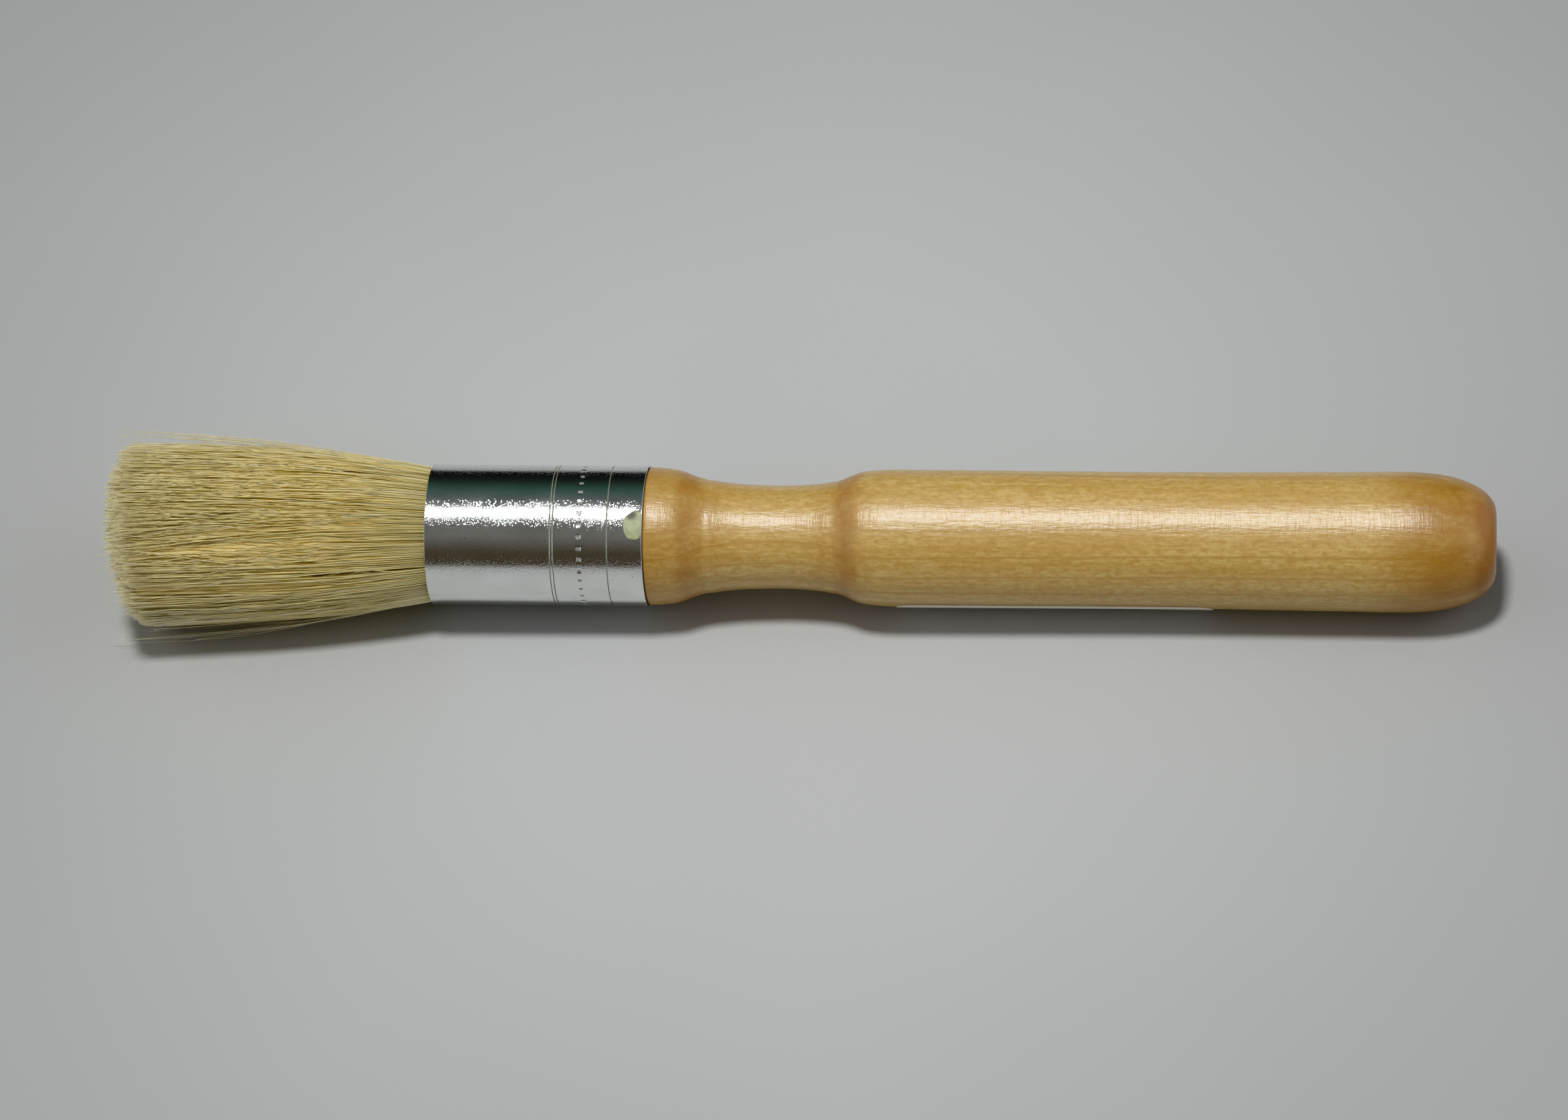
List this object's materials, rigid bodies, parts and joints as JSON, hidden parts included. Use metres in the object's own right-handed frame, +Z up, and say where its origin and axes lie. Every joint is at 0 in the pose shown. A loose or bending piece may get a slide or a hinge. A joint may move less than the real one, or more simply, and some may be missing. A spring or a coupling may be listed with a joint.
{
  "type": "pastry brush",
  "caption": "Round pastry brush: turned lacquered wooden handle, tinplate ferrule with rolled lines, and a flared head of pale natural bristle that bends at the ferrule and springs back.",
  "frame": {"origin": "middle of the whole brush in X and Y, on the surface that it lies on", "axes": "+X along the brush towards the handle's butt, +Z up, bristles towards -X; the brush's own axis rises 0.55 degrees towards the bristles"},
  "size_m": [0.1992, 0.0278, 0.0251],
  "materials": {
    "lacquered_wood": "clear gloss lacquer over pale close-grained wood",
    "tinplate": "bright tin with fine speckle",
    "bristle": "natural straw-coloured bristle, slightly glossy",
    "resin": "cast amber resin",
    "dried_glue": "dried, slightly translucent",
    "paper": "plain white matt sticker"
  },
  "bodies": {
    "handle": {"handle": "lacquered_wood", "ferrule": "tinplate", "handle_glue": "dried_glue", "glue_drop": "dried_glue", "setting_resin": "resin", "bristle_roots": "bristle", "paper_label": "paper"},
    "bristle_head": {"bristle_lock_centre": "bristle", "bristle_lock_inner_1": "bristle", "bristle_lock_inner_2": "bristle", "bristle_lock_inner_3": "bristle", "bristle_lock_inner_4": "bristle", "bristle_lock_inner_5": "bristle", "bristle_lock_inner_6": "bristle", "bristle_lock_outer_1": "bristle", "bristle_lock_outer_2": "bristle", "bristle_lock_outer_3": "bristle", "bristle_lock_outer_4": "bristle", "bristle_lock_outer_5": "bristle", "bristle_lock_outer_6": "bristle", "bristle_lock_outer_7": "bristle", "bristle_lock_outer_8": "bristle", "bristle_lock_outer_9": "bristle", "bristle_lock_outer_10": "bristle", "bristle_lock_outer_11": "bristle", "bristle_lock_outer_12": "bristle"}
  },
  "joints": [
    {"name": "bristle_bend", "type": "hinge", "parent": "handle", "child": "bristle_head", "pos_m": [-0.05761, 0, 0.01131], "axis": [0, 0, 1], "range_deg": [-30, 30], "stiffness_Nm_per_rad": 0.2}
  ]
}
